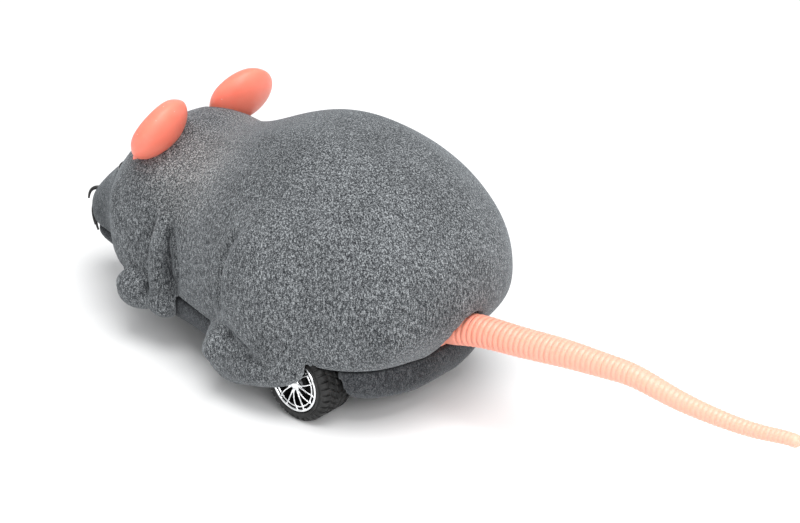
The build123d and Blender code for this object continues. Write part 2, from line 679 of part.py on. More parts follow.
def rim():
    """The bright insert: a double ring, paired spokes and a domed hub cap."""
    face = Circle(RIM_RADIUS) - Circle(RIM_RADIUS - 0.8)
    inner_ring = Circle(RIM_RADIUS - 1.3) - Circle(RIM_RADIUS - 1.8)
    spoke = Pos(1.0, 0) * Rectangle(RIM_RADIUS - 1.4, 0.5, align=(Align.MIN, Align.CENTER))
    star = inner_ring + Circle(2.1)
    for pair in range(SPOKE_PAIRS):
        for lean in (-9, 9):
            star = star + Rot(0, 0, pair * 360 / SPOKE_PAIRS + lean) * spoke
    disc = slab(Pos(*AXLE) * face, RIM_BACK, TYRE[1]) + slab(Pos(*AXLE) * star, RIM_BACK, RIM_BACK + 0.4)
    bridge = Circle(RIM_RADIUS - 0.6) - Circle(RIM_RADIUS - 1.5)
    bridge = slab(Pos(*AXLE) * bridge, RIM_BACK, RIM_BACK + 0.3)
    cap = Pos(AXLE_X, RIM_BACK - 0.9, AXLE_Z) * Sphere(1.9) - rod(*AXLE, 20, RIM_BACK, 4)
    return disc + bridge + cap


# ---------------------------------------------------------------- caster
def caster_fork():
    """The swivelling fork: a stem with a clip groove, a crown and two cheeks."""
    axle_x = CASTER_X - CASTER_TRAIL
    crown = post(CASTER_X, 0, 9.9, 11.5, 3.6) + block((axle_x - 2, CASTER_X), (-3.6, 3.6), (9.9, 11.1))
    stem = post(CASTER_X, 0, 11.0, 15.4, CASTER_STEM_RADIUS)
    stem = stem - (post(CASTER_X, 0, 14.0, 14.7, 3) - post(CASTER_X, 0, 14.0, 14.7, 1.1))
    cheek = outline([(axle_x - 2, CASTER_RADIUS), (axle_x + 2, CASTER_RADIUS), (CASTER_X + 1, 10.5),
                     (axle_x - 2, 10.5)]) + Pos(axle_x, CASTER_RADIUS) * Circle(2)
    cheek = slab(cheek, 2.5, 3.5)
    fork = crown + stem + cheek + mirrored(cheek)
    return fork - rod(axle_x, CASTER_RADIUS, -5, 5, CASTER_AXLE_RADIUS + FIT_CLEARANCE)


def caster_wheel():
    axle_x = CASTER_X - CASTER_TRAIL
    wheel = rod(axle_x, CASTER_RADIUS, -2.2, 2.2, CASTER_RADIUS)
    wheel = fillet(wheel.edges().filter_by(GeomType.CIRCLE), 0.8)
    return wheel - rod(axle_x, CASTER_RADIUS, -3, 3, CASTER_AXLE_RADIUS + RUNNING_CLEARANCE)


def caster_axle():
    axle_x = CASTER_X - CASTER_TRAIL
    axle = rod(axle_x, CASTER_RADIUS, -3.5, 3.5, CASTER_AXLE_RADIUS)
    head = rod(axle_x, CASTER_RADIUS, 3.5, 4.0, 1.3)
    return axle + head + mirrored(head)


def caster_clip():
    """The spring clip in the stem's groove, above the recess's ceiling."""
    ring = post(CASTER_X, 0, 14.05, 14.65, 2.7) - post(CASTER_X, 0, 14, 15, 1.12)
    return ring - block((CASTER_X, CASTER_X + 4), (-0.8, 0.8), (13, 16))


# ---------------------------------------------------------------- writing out
def pieces():
    """Every piece of the toy by name, as a list of solids."""
    left_ear, left_eye = ear(), eye()
    left_core, left_tyre, left_rim, left_bush = wheel_core(), tyre(), rim(), axle_bush()
    left_whiskers = whiskers()
    return {
        "upper_shell": [upper_shell()],
        "lower_shell": [lower_shell()],
        "shell_screws": shell_screws(),
        "left_ear": [left_ear],
        "right_ear": [mirrored(left_ear)],
        "left_eye": [left_eye],
        "right_eye": [mirrored(left_eye)],
        "nose": [nose()],
        "left_whiskers": left_whiskers,
        "right_whiskers": [mirrored(whisker) for whisker in left_whiskers],
        "tail": [tail()],
        "motor_plate_left": [motor_plate(1)],
        "motor_plate_right": [motor_plate(-1)],
        "motor_pillars": motor_pillars(),
        "motor_screws": motor_screws(),
        "mount_screws": mount_screws(),
        "barrel": [barrel()],
        "barrel_cover": [barrel_cover()],
        "mainspring": [mainspring()],
        "winding_arbor": [winding_arbor()],
        "ratchet_wheel": [ratchet_wheel()],
        "click": [click()],
        "click_pin": [click_pin()],
        "click_spring": [click_spring()],
        "winding_key": [winding_key()],
        "key_bush": [key_bush()],
        "second_arbor": [arbor(SECOND)],
        "second_wheel": [second_wheel()],
        "second_pinion": [gear(SECOND, SECOND_PINION_TEETH, 0, -0.4, 2.0, ARBOR_RADIUS)],
        "third_arbor": [arbor(THIRD)],
        "third_wheel": [third_wheel()],
        "third_pinion": [gear(THIRD, THIRD_PINION_TEETH, 0, 2.6, 4.8, ARBOR_RADIUS)],
        "rear_axle": [rear_axle()],
        "axle_pinion": [axle_pinion()],
        "axle_bushes": [left_bush, mirrored(left_bush)],
        "left_wheel_core": [left_core],
        "right_wheel_core": [mirrored(left_core)],
        "left_tyre": [left_tyre],
        "right_tyre": [mirrored(left_tyre)],
        "left_rim": [left_rim],
        "right_rim": [mirrored(left_rim)],
        "caster_fork": [caster_fork()],
        "caster_wheel": [caster_wheel()],
        "caster_axle": [caster_axle()],
        "caster_clip": [caster_clip()],
    }


def main():
    tail_tip = TAIL_LINE[-1][0] - TAIL_LINE[-1][2] / 2
    nose_tip = NOSE_CENTRE[0] + NOSE_RADIUS
    shift = Pos(-(tail_tip + nose_tip) / 2, 0, 0)
    for name, solids in pieces().items():
        moved = [shift * solid for solid in solids]
        shape = moved[0] if len(moved) == 1 else Compound(children=moved)
        export_step(shape, f"parts/{name}.step")


if __name__ == "__main__":
    main()
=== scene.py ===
"""Looks of the clockwork mouse: flocked casing, vinyl ears and ribbed tail, treaded wheels, metal works.

Everything is in metres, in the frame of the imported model: nose along +X, left along +Y, floor at z = 0.
"""
import json
import math

import bmesh
import bpy
import numpy as np
from mathutils import Euler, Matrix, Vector
from mathutils.bvhtree import BVHTree


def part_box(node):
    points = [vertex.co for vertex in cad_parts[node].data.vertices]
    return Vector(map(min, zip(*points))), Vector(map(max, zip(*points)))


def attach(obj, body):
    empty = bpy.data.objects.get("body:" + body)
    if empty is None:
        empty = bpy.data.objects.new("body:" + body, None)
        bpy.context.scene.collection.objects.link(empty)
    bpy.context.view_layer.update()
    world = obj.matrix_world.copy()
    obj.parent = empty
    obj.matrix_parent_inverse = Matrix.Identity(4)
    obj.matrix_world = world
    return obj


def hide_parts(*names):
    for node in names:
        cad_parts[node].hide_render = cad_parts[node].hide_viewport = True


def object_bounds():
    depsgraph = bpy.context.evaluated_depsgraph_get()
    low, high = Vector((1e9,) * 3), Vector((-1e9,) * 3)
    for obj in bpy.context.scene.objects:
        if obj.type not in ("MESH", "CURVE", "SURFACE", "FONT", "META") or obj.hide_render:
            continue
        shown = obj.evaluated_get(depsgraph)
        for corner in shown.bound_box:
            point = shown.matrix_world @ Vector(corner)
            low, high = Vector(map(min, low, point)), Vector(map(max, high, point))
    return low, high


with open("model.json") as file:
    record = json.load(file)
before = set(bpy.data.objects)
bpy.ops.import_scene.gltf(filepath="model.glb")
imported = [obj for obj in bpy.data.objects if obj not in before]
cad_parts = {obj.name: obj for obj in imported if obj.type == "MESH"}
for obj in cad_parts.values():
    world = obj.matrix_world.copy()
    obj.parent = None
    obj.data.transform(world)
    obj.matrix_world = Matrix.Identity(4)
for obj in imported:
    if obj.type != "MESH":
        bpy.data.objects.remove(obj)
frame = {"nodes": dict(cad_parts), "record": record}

CAD_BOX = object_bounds()
MM = 0.001
SLOT_OF = {part["node"]: part["material_slot"] for part in frame["record"]["subparts"]}
LEFT, RIGHT = 1, -1
PARTING_HEIGHT = 17 * MM               # of the casing's lower edge above the floor
WORN_HEIGHT = 12.0 * MM                # of its worn edge above the belly pan's underside

# Sizes that only the looks need
CASING_VOXEL = 0.8 * MM
PAN_VOXEL = 0.85 * MM
KEY_VOXEL = 0.22 * MM
EAR_VOXEL = 0.32 * MM
RIM_VOXEL = 0.13 * MM
TAIL_STEP = 0.19 * MM
RIB_PITCH = (1.6 * MM, 1.2 * MM)       # at the tail's root and at its tip
RIB_DEPTH = (0.32 * MM, 0.16 * MM)
TREAD_BLOCKS = 34
GROOVE_DEPTH = 0.55 * MM
GROOVE_PLACES = (1.15 * MM, 3.1 * MM)  # from the tread's middle line
SPOKE_PAIRS = 7
STEM_RADIUS = 2.0 * MM                 # the ear's plug, and its length from the ear's middle
STEM_LENGTH = 12 * MM
RUMP_THICKENING = 2.6 * MM
WHISKER_RADIUS = (0.6 * MM, 0.26 * MM)  # at the root and at the tip

# Studio
FLOOR_REACH = 3.0
FLOOR_TONE = 0.86
WORLD_STRENGTH = 0.75
CAMERA_LENS = 117.0
CAMERA_AZIMUTH, CAMERA_ELEVATION = 40.5, 26.0
CAMERA_DISTANCE = 0.632
CAMERA_AIM = (3.4 * MM, 0.9 * MM, 2.0 * MM)   # from the middle of the CAD box

# Folds of the left side in millimetres from the nose: a line, its depth (negative for a ridge), its width
FOLDS = (
    (((-83.0, 30.5, 30.0), (-79.0, 32.0, 24.5), (-76.2, 33.0, 18.5), (-75.2, 33.5, 11.5), (-75.2, 33.5, 5.0),
      (-76.5, 34.0, 1.0)), 2.3, 1.9),
    (((-87.0, 31.0, 28.5), (-82.5, 33.0, 22.5), (-79.8, 34.0, 16.0), (-79.2, 34.5, 9.0), (-80.0, 34.5, 4.0)),
     -0.7, 2.4),
    (((-76.8, 34.0, 1.6), (-79.8, 35.0, -0.6), (-83.8, 35.6, -2.0), (-87.6, 35.6, -3.6), (-93.0, 35.0, -5.2)),
     1.5, 2.0),
    (((-49.0, 23.0, 19.5), (-50.8, 25.0, 13.0), (-52.0, 26.0, 6.5), (-51.6, 25.6, 0.0), (-50.6, 24.6, -6.0)),
     2.2, 2.1),
    (((-47.5, 24.0, 19.0), (-45.0, 26.0, 12.5), (-44.4, 27.5, 4.5), (-42.8, 27.0, -3.5), (-42.0, 26.0, -8.0)),
     1.9, 1.8),
    (((-47.5, 24.0, 18.5), (-48.2, 26.5, 11.5), (-48.0, 28.0, 4.0), (-46.5, 28.0, -4.5)), -0.8, 1.9),
    (((-78.0, 34.5, 1.4), (-74.8, 35.5, -2.6), (-73.2, 35.0, -7.5), (-74.2, 35.0, -12.0)), -2.0, 2.3),
    (((-38.0, 24.0, 1.5), (-36.0, 25.2, -1.0), (-34.5, 27.0, -4.2), (-34.8, 26.5, -7.5)), -1.5, 1.9),
    (((-19.5, 11.5, 20.0), (-19.2, 14.5, 14.5), (-19.0, 17.0, 8.5), (-20.0, 17.5, 1.0), (-22.0, 17.5, -3.5)),
     1.9, 3.2),
    (((-26.5, 18.5, 20.5), (-28.0, 22.0, 15.7), (-30.5, 24.0, 10.1), (-32.6, 24.5, 3.9)), -0.8, 3.0),
)
WHISKER_LINES = (                      # root, middle and tip of each, in millimetres from the nose
    ((-5.0, 4.0, 5.4), (-3.1, 6.3, 5.7), (-2.2, 7.2, 3.0)),
    ((-5.0, 4.2, 3.6), (-3.0, 6.3, 0.8), (-3.6, 6.6, -4.6)),
    ((-5.2, 4.4, 1.4), (-3.6, 6.1, -1.7), (-4.4, 6.4, -6.0)),
)


# ---------------------------------------------------------------- shader helpers
class Shader:
    """A material on the Principled shader, with short calls to add nodes to it."""

    def __init__(self, name, roughness=0.5, metallic=0.0, **values):
        self.material = bpy.data.materials.new(name)
        self.material.use_nodes = True
        self.tree = self.material.node_tree
        self.principled = self.tree.nodes["Principled BSDF"]
        self.set("Roughness", roughness)
        self.set("Metallic", metallic)
        for key, value in values.items():
            self.set(key.replace("_", " "), value)
        self.place = self.add("ShaderNodeTexCoord").outputs["Object"]

    def set(self, socket, value):
        self.principled.inputs[socket].default_value = value

    def add(self, kind, inputs=None, **settings):
        made = self.tree.nodes.new(kind)
        for key, value in settings.items():
            setattr(made, key, value)
        for key, value in (inputs or {}).items():
            if isinstance(value, bpy.types.NodeSocket):
                self.tree.links.new(value, made.inputs[key])
            else:
                made.inputs[key].default_value = value
        return made

    def link(self, socket, output):
        self.tree.links.new(output, self.principled.inputs[socket])

    def stretched(self, along):
        """Object coordinates scaled on each axis."""
        mapping = self.add("ShaderNodeMapping", {"Vector": self.place, "Scale": along})
        return mapping.outputs["Vector"]

    def noise(self, size, detail=2.0, roughness=0.5, along=None):
        """Noise whose features are about size metres across."""
        vector = self.stretched(along) if along else self.place
        inputs = {"Vector": vector, "Scale": 1 / size, "Detail": detail, "Roughness": roughness}
        return self.add("ShaderNodeTexNoise", inputs).outputs["Fac"]

    def cells(self, size):
        inputs = {"Vector": self.place, "Scale": 1 / size}
        return self.add("ShaderNodeTexVoronoi", inputs)

    def ramp(self, source, *stops):
        """A value or colour that changes with source, through (position, colour) stops."""
        made = self.add("ShaderNodeValToRGB", {"Fac": source})
        ramp = made.color_ramp
        while len(ramp.elements) < len(stops):
            ramp.elements.new(0.5)
        for element, (position, colour) in zip(ramp.elements, stops):
            element.position = position
            element.color = rgba(colour)
        return made.outputs["Color"]

    def mix(self, share, first, second, mode="MIX"):
        made = self.add("ShaderNodeMix", data_type="RGBA", blend_type=mode)
        for name, value in (("Factor", share), ("A", first), ("B", second)):
            sockets = [s for s in made.inputs if s.name == name and s.enabled]
            socket = sockets[0]
            if isinstance(value, bpy.types.NodeSocket):
                self.tree.links.new(value, socket)
            elif name == "Factor":
                socket.default_value = value
            else:
                socket.default_value = rgba(value)
        return [s for s in made.outputs if s.enabled][0]

    def math(self, operation, first, second=0.0):
        made = self.add("ShaderNodeMath", operation=operation)
        for socket, value in zip(made.inputs, (first, second)):
            if isinstance(value, bpy.types.NodeSocket):
                self.tree.links.new(value, socket)
            else:
                socket.default_value = value
        return made.outputs["Value"]

    def between(self, value, low, high):
        """0 where value is low, 1 where it is high."""
        inputs = {"Value": value, "From Min": low, "From Max": high}
        return self.add("ShaderNodeMapRange", inputs).outputs["Result"]

    def axis(self, name):
        made = self.add("ShaderNodeSeparateXYZ", {"Vector": self.place})
        return made.outputs[name]

    def around(self, centre, reach):
        """1 at a place and at its image on the other side, falling to 0 at reach metres."""
        folded = self.add("ShaderNodeVectorMath", {0: self.place}, operation="ABSOLUTE")
        apart = self.add("ShaderNodeVectorMath", {0: folded.outputs["Vector"], 1: centre},
                         operation="DISTANCE")
        return self.between(apart.outputs["Value"], reach, 0.25 * reach)

    def pointiness(self):
        return self.add("ShaderNodeNewGeometry").outputs["Pointiness"]

    def bump(self, height, distance, strength=1.0, before=None):
        inputs = {"Height": height, "Distance": distance, "Strength": strength}
        if before is not None:
            inputs["Normal"] = before
        made = self.add("ShaderNodeBump", inputs).outputs["Normal"]
        self.link("Normal", made)
        return made


def rgba(colour):
    """A grey number or an RGB triple as four numbers."""
    if isinstance(colour, (int, float)):
        colour = (colour, colour, colour)
    return (*colour[:3], 1.0)


def nose_middle():
    low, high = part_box("nose")
    return (low + high) / 2


# ---------------------------------------------------------------- materials
def flock(name, dark, middle, light, rim=None, painted_shade_and_highlight=()):
    """Short electrostatic fibre: salt-and-pepper grain and soft sheen.

    rim, if given, is the height of a sharp lower edge whose fibre is worn pale; the last
    argument lists places with their reach and the colour that the fibre is multiplied by there,
    a darker colour for painted shade and a lighter one for a painted highlight.
    """
    shader = Shader(name, roughness=0.95, Specular_IOR_Level=0.1, Sheen_Weight=0.4,
                    Sheen_Roughness=0.4)
    shader.set("Sheen Tint", rgba((0.55, 0.59, 0.62)))
    grain = shader.noise(0.28 * MM, detail=3.0, roughness=0.7)
    nap = shader.noise(0.42 * MM, detail=2.0, roughness=0.6, along=(1.0, 1.0, 0.35))
    both = shader.mix(0.35, grain, nap)
    speckle = shader.ramp(both, (0.39, dark), (0.5, middle), (0.62, light))
    cloud = shader.ramp(shader.noise(14 * MM, detail=2.0), (0.3, 0.86), (0.7, 1.12))
    colour = shader.mix(1.0, speckle, cloud, "MULTIPLY")
    # Paler fibre on ridges and sharp bends: partly worn fibre, partly a painted highlight.
    ridge_wear_and_highlight = shader.between(shader.pointiness(), 0.53, 0.62)
    colour = shader.mix(shader.math("MULTIPLY", ridge_wear_and_highlight, 0.5), colour, light)
    # Painted shade: the fibre is darkened in hollows and creases.
    painted_crease_shade = shader.between(shader.pointiness(), 0.492, 0.455)
    colour = shader.mix(shader.math("MULTIPLY", painted_crease_shade, 0.7), colour, dark)
    if rim is not None:
        low_down = shader.between(shader.axis("Z"), rim + 1.2 * MM, rim + 0.5 * MM)
        sharp = shader.between(shader.pointiness(), 0.52, 0.58)
        rub = shader.between(shader.noise(1.1 * MM, detail=3.0), 0.34, 0.6)
        worn = shader.math("MULTIPLY", shader.math("MULTIPLY", low_down, sharp), rub)
        colour = shader.mix(shader.math("MULTIPLY", worn, 0.6), colour, light)
    # Painted shade and painted highlight: the colour multiplied darker or lighter round given places.
    for centre, reach, tint in painted_shade_and_highlight:
        colour = shader.mix(shader.around(centre, reach), colour,
                            shader.mix(1.0, colour, tint, "MULTIPLY"))
    shader.link("Base Color", colour)
    shader.bump(both, 0.22 * MM, 0.8)
    return shader.material


def ear_vinyl():
    """Soft translucent pink vinyl with a few pale specks of flock caught on it."""
    shader = Shader("ear_vinyl", roughness=0.4, Subsurface_Weight=0.35, Subsurface_Scale=1.4 * MM)
    shader.set("Subsurface Radius", (1.0, 0.32, 0.22))
    tone = shader.ramp(shader.noise(7 * MM), (0.3, (1.0, 0.215, 0.142)), (0.7, (1.0, 0.255, 0.176)))
    cells = shader.cells(1.3 * MM)
    near = shader.between(cells.outputs["Distance"], 0.11, 0.05)
    chosen = shader.between(cells.outputs["Color"], 0.72, 0.74)
    colour = shader.mix(shader.math("MULTIPLY", near, chosen), tone, (0.95, 0.72, 0.66))
    shader.link("Base Color", colour)
    roughness = shader.ramp(shader.noise(0.9 * MM, 3.0), (0.3, 0.34), (0.7, 0.48))
    shader.link("Roughness", roughness)
    shader.bump(shader.noise(0.5 * MM, 3.0), 0.02 * MM, 0.6)
    return shader.material


def tail_vinyl(root_x, tip_x):
    """Paler vinyl, pinker at the root, and darker and pinker between the ribs as painted shade."""
    shader = Shader("tail_vinyl", roughness=0.36, Subsurface_Weight=0.3, Subsurface_Scale=1.2 * MM)
    shader.set("Subsurface Radius", (1.0, 0.45, 0.3))
    along = shader.between(shader.axis("X"), root_x, tip_x)
    colour = shader.ramp(along, (0.0, (0.93, 0.35, 0.25)), (0.2, (0.94, 0.41, 0.3)),
                         (1.0, (0.93, 0.45, 0.335)))
    # Painted shade: darker, redder vinyl in the hollows between the ribs.
    rib_valley_shade = shader.between(shader.pointiness(), 0.5, 0.42)
    colour = shader.mix(shader.math("MULTIPLY", rib_valley_shade, 0.5), colour, (0.82, 0.27, 0.19))
    shader.link("Base Color", colour)
    shader.bump(shader.noise(0.6 * MM, 3.0), 0.02 * MM, 0.5)
    return shader.material


def rubber():
    """Black tyre rubber with a faint bloom and dust in the grooves."""
    shader = Shader("tyre_rubber", roughness=0.62, Specular_IOR_Level=0.4)
    bloom = shader.ramp(shader.noise(2.2 * MM, 4.0), (0.35, 0.008), (0.7, 0.028))
    dust = shader.between(shader.pointiness(), 0.49, 0.42)
    colour = shader.mix(shader.math("MULTIPLY", dust, 0.25), bloom, (0.1, 0.1, 0.098))
    shader.link("Base Color", colour)
    shader.link("Roughness", shader.ramp(shader.noise(1.0 * MM, 3.0), (0.3, 0.5), (0.7, 0.75)))
    shader.bump(shader.noise(0.25 * MM, 2.0), 0.03 * MM, 0.5)
    return shader.material


def metal(name, colour, roughness, brushed=(1.0, 1.0, 1.0), tarnish=None):
    """Metal with fine brushing and, if given, a patchy tarnish colour."""
    shader = Shader(name, roughness=roughness, metallic=1.0)
    base = shader.ramp(shader.noise(3 * MM, 4.0), (0.35, [c * 0.9 for c in colour]), (0.65, colour))
    if tarnish:
        patch = shader.between(shader.noise(2.0 * MM, 5.0), 0.55, 0.75)
        base = shader.mix(shader.math("MULTIPLY", patch, 0.6), base, tarnish)
    shader.link("Base Color", base)
    grain = shader.noise(0.25 * MM, 3.0, along=brushed)
    shader.link("Roughness", shader.ramp(grain, (0.3, roughness * 0.75), (0.7, roughness * 1.35)))
    shader.bump(grain, 0.01 * MM, 0.4)
    return shader.material


def plastic(name, colour, roughness, grain=0.4 * MM):
    """Moulded plastic with a fine spark-eroded grain."""
    shader = Shader(name, roughness=roughness)
    tone = shader.ramp(shader.noise(5 * MM, 3.0), (0.3, [c * 0.85 for c in colour]), (0.7, colour))
    shader.link("Base Color", tone)
    shader.link("Roughness", shader.ramp(shader.noise(1.5 * MM, 3.0), (0.3, roughness * 0.85),
                                         (0.7, min(1.0, roughness * 1.2))))
    shader.bump(shader.noise(grain, 2.0), 0.015 * MM, 0.6)
    return shader.material


def make_materials():
    """One procedural material for each material slot of the record."""
    tail_low, tail_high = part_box("tail")
    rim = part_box("lower_shell")[0].z + WORN_HEIGHT
    return {
        "flock_grey": flock("flock_grey", (0.01, 0.011, 0.013), (0.076, 0.081, 0.086),
                            (0.34, 0.357, 0.368), rim,
                            # painted shade over the muzzle, which faces away from the lights, then a painted
                            # highlight at the neck saddle
                            ((nose_middle() - Vector((2, 0, -4)) * MM, 30 * MM, (0.42, 0.43, 0.44)),
                             (nose_middle() + Vector((-52.5, 15, 29)) * MM, 18 * MM, (1.42, 1.39, 1.34)))),
        "flock_dark": flock("flock_dark", (0.01, 0.011, 0.013), (0.038, 0.04, 0.044),
                            (0.11, 0.115, 0.12)),
        "ear_vinyl": ear_vinyl(),
        "tail_vinyl": tail_vinyl(tail_high.x - 10 * MM, tail_low.x),
        "black_gloss": plastic("black_gloss", (0.006, 0.006, 0.007), 0.08, 2 * MM),
        "whisker_rubber": plastic("whisker_rubber", (0.008, 0.008, 0.008), 0.42),
        "tyre_rubber": rubber(),
        "wheel_black": plastic("wheel_black", (0.004, 0.004, 0.004), 0.6),
        "rim_chrome": metal("rim_chrome", (0.93, 0.94, 0.95), 0.13),
        "plate_steel": metal("plate_steel", (0.62, 0.62, 0.6), 0.3, (1.0, 1.0, 0.08)),
        "gear_brass": metal("gear_brass", (0.83, 0.58, 0.25), 0.24, tarnish=(0.42, 0.24, 0.1)),
        "shaft_steel": metal("shaft_steel", (0.66, 0.66, 0.67), 0.2, (1.0, 0.1, 1.0)),
        "spring_steel": metal("spring_steel", (0.33, 0.35, 0.42), 0.28, (1.0, 0.1, 1.0)),
        "screw_steel": metal("screw_steel", (0.6, 0.6, 0.6), 0.3),
        "key_steel": metal("key_steel", (0.78, 0.77, 0.74), 0.22, tarnish=(0.5, 0.45, 0.36)),
        "caster_plastic": plastic("caster_plastic", (0.03, 0.03, 0.032), 0.45),
    }


# ---------------------------------------------------------------- mesh helpers
def new_object(name, mesh):
    piece = bpy.data.objects.new(name, mesh)
    bpy.context.scene.collection.objects.link(piece)
    return piece


def mesh_object(name, points, faces):
    mesh = bpy.data.meshes.new(name)
    mesh.from_pydata([tuple(point) for point in points], [], faces)
    mesh.update()
    return new_object(name, mesh)


def settle(piece):
    """Makes the piece's modifiers part of its mesh."""
    graph = bpy.context.evaluated_depsgraph_get()
    mesh = bpy.data.meshes.new_from_object(piece.evaluated_get(graph))
    piece.modifiers.clear()
    piece.data = mesh
    return piece


def voxelled(piece, voxel):
    """The piece as one even closed skin."""
    shape = piece.modifiers.new("Remesh", "REMESH")
    shape.mode = "VOXEL"
    shape.voxel_size = voxel
    return settle(piece)


def cad_copy(node, name):
    """A copy of a CAD node's mesh, welded, as the start of a new piece."""
    piece = new_object(name, frame["nodes"][node].data.copy())
    weld = piece.modifiers.new("Weld", "WELD")
    weld.merge_threshold = 1e-6
    return settle(piece)


def read_points(mesh):
    points = np.empty(len(mesh.vertices) * 3)
    mesh.vertices.foreach_get("co", points)
    return points.reshape(-1, 3)


def write_points(mesh, points):
    mesh.vertices.foreach_set("co", points.ravel())
    mesh.update()


def read_normals(mesh):
    normals = np.empty(len(mesh.vertices) * 3)
    mesh.vertex_normals.foreach_get("vector", normals)
    return normals.reshape(-1, 3)


class Skin:
    """A mesh as arrays of points and edges, for smoothing and sculpting."""

    def __init__(self, piece):
        self.mesh = piece.data
        self.points = read_points(self.mesh)
        edges = np.empty(len(self.mesh.edges) * 2, dtype=np.int64)
        self.mesh.edges.foreach_get("vertices", edges)
        self.first, self.second = edges.reshape(-1, 2).T
        size = len(self.points)
        self.valence = np.bincount(self.first, minlength=size) + np.bincount(self.second, minlength=size)

    def pull(self):
        """From each point to the middle of its neighbours."""
        size = len(self.points)
        total = np.empty_like(self.points)
        for axis in range(3):
            column = self.points[:, axis]
            total[:, axis] = np.bincount(self.first, weights=column[self.second], minlength=size)
            total[:, axis] += np.bincount(self.second, weights=column[self.first], minlength=size)
        return total / self.valence[:, None] - self.points

    def normals(self):
        write_points(self.mesh, self.points)
        return read_normals(self.mesh)

    def relax(self, rounds, share=0.5, where=1.0):
        """Smooths the skin, without shrinking it much."""
        weight = np.broadcast_to(where, len(self.points))[:, None]
        for turn in range(rounds):
            self.points += self.pull() * weight * (share if turn % 2 == 0 else -share * 0.96)

    def fill_creases(self, rounds, share=0.5, where=1.0):
        """Fills only hollow corners, as thick flocking does."""
        weight = np.broadcast_to(where, len(self.points))
        for turn in range(rounds):
            if turn % 4 == 0:
                normals = self.normals()
            pull = self.pull()
            outward = np.einsum("ij,ij->i", pull, normals)
            lift = np.clip(outward, 0, None) * share * weight
            self.points += normals * lift[:, None]

    def push(self, amount):
        """Moves each point along its normal."""
        self.points += self.normals() * amount[:, None]

    def done(self):
        write_points(self.mesh, self.points)


def near_line(points, line):
    """The distance from each point to a polyline, and how far along it that is, from 0 to 1."""
    best = np.full(len(points), np.inf)
    along = np.zeros(len(points))
    for index, (start, end) in enumerate(zip(line, line[1:])):
        start, run = np.array(start), np.array(end) - np.array(start)
        share = np.clip((points - start) @ run / (run @ run), 0, 1)
        distance = np.linalg.norm(points - start - share[:, None] * run, axis=1)
        closer = distance < best
        best[closer] = distance[closer]
        along[closer] = ((index + share) / (len(line) - 1))[closer]
    return best, along


def smooth_step(values, low, high):
    share = np.clip((values - low) / (high - low), 0, 1)
    return share * share * (3 - 2 * share)


def loft_faces(rows, columns, closed_rows):
    """Quads of a grid whose columns close on themselves, and its rows too if asked."""
    faces = []
    for row in range(rows if closed_rows else rows - 1):
        after = (row + 1) % rows
        for column in range(columns):
            beside = (column + 1) % columns
            faces.append((row * columns + column, row * columns + beside,
                          after * columns + beside, after * columns + column))
    return faces


def turned(name, profile, segments, centre, shaped=None):
    """A closed profile of (radius, y) turned round the Y axis through centre, y outward from it.

    shaped, if given, takes angles, radii and y as arrays and gives the radii to use.
    """
    profile = np.array(profile)
    angles = np.arange(segments) * 2 * math.pi / segments
    radius = np.repeat(profile[:, :1], segments, axis=1)
    along = np.repeat(profile[:, 1:], segments, axis=1)
    angle = np.broadcast_to(angles, radius.shape)
    if shaped is not None:
        radius = shaped(angle, radius, along)
    points = np.stack([centre[0] + radius * np.cos(angle), centre[1] + along,
                       centre[2] + radius * np.sin(angle)], axis=-1).reshape(-1, 3)
    return mesh_object(name, points, loft_faces(len(profile), segments, True))


def facing_out(piece):
    """Makes all faces point outward."""
    work = bmesh.new()
    work.from_mesh(piece.data)
    bmesh.ops.recalc_face_normals(work, faces=work.faces)
    work.to_mesh(piece.data)
    work.free()
    return piece


def joined(name, pieces):
    """Several objects as one mesh."""
    work = bmesh.new()
    for piece in pieces:
        work.from_mesh(piece.data)
    mesh = bpy.data.meshes.new(name)
    work.to_mesh(mesh)
    work.free()
    for piece in pieces:
        bpy.data.objects.remove(piece)
    return new_object(name, mesh)


def mirror_copy(piece, name):
    """The same piece on the mouse's other side."""
    copy = new_object(name, piece.data.copy())
    points = read_points(copy.data)
    points[:, 1] *= -1
    write_points(copy.data, points)
    copy.data.flip_normals()
    return copy


def body_of(node):
    for body, members in frame["record"]["behaviour"]["bodies"].items():
        if node in members:
            return body
    raise ValueError(f"no body holds {node}")


def finish_piece(piece, *nodes, sharp=35):
    """Gives a new piece its material and its body, and hides the CAD nodes it stands for."""
    slot = SLOT_OF[nodes[0]]
    piece.data.materials.clear()
    piece.data.materials.append(MATERIALS[slot])
    piece.data.shade_smooth()
    if sharp:
        piece.data.set_sharp_from_angle(angle=math.radians(sharp))
    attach(piece, body_of(nodes[0]))
    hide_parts(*nodes)
    return piece


# ---------------------------------------------------------------- casing
def thicken_rump(piece):
    """Moves the casing's inner wall away from the skin at the rump, so that the wall is whole there."""
    points = read_points(piece.data)
    low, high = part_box("upper_shell")
    heart = Vector((low.x + 24 * MM, 0, (low.z + high.z) / 2))
    tree = BVHTree.FromPolygons([tuple(point) for point in points],
                                [face.vertices for face in piece.data.polygons])
    share = smooth_step(points[:, 0], low.x + 16 * MM, low.x + 6 * MM)
    for index in np.nonzero(share)[0]:
        point = Vector(points[index])
        outward = (point - heart).normalized()
        skin = tree.ray_cast(heart + outward * 0.1, -outward)[0]
        if skin is not None and (skin - point).length > 0.12 * MM:
            points[index] -= np.array(outward) * RUMP_THICKENING * share[index]
    write_points(piece.data, points)


def press_fold(skin, line, depth, width):
    """Presses a fold into both sides of the skin along a line, fading at the line's ends."""
    for side in (LEFT, RIGHT):
        path = [nose_middle() + Vector((x, y * side, z)) * MM for x, y, z in line]
        distance, along = near_line(skin.points, path)
        fade = smooth_step(along, 0, 0.3) * smooth_step(along, 1, 0.6)
        skin.push(-depth * np.exp(-(distance / width) ** 2) * fade)


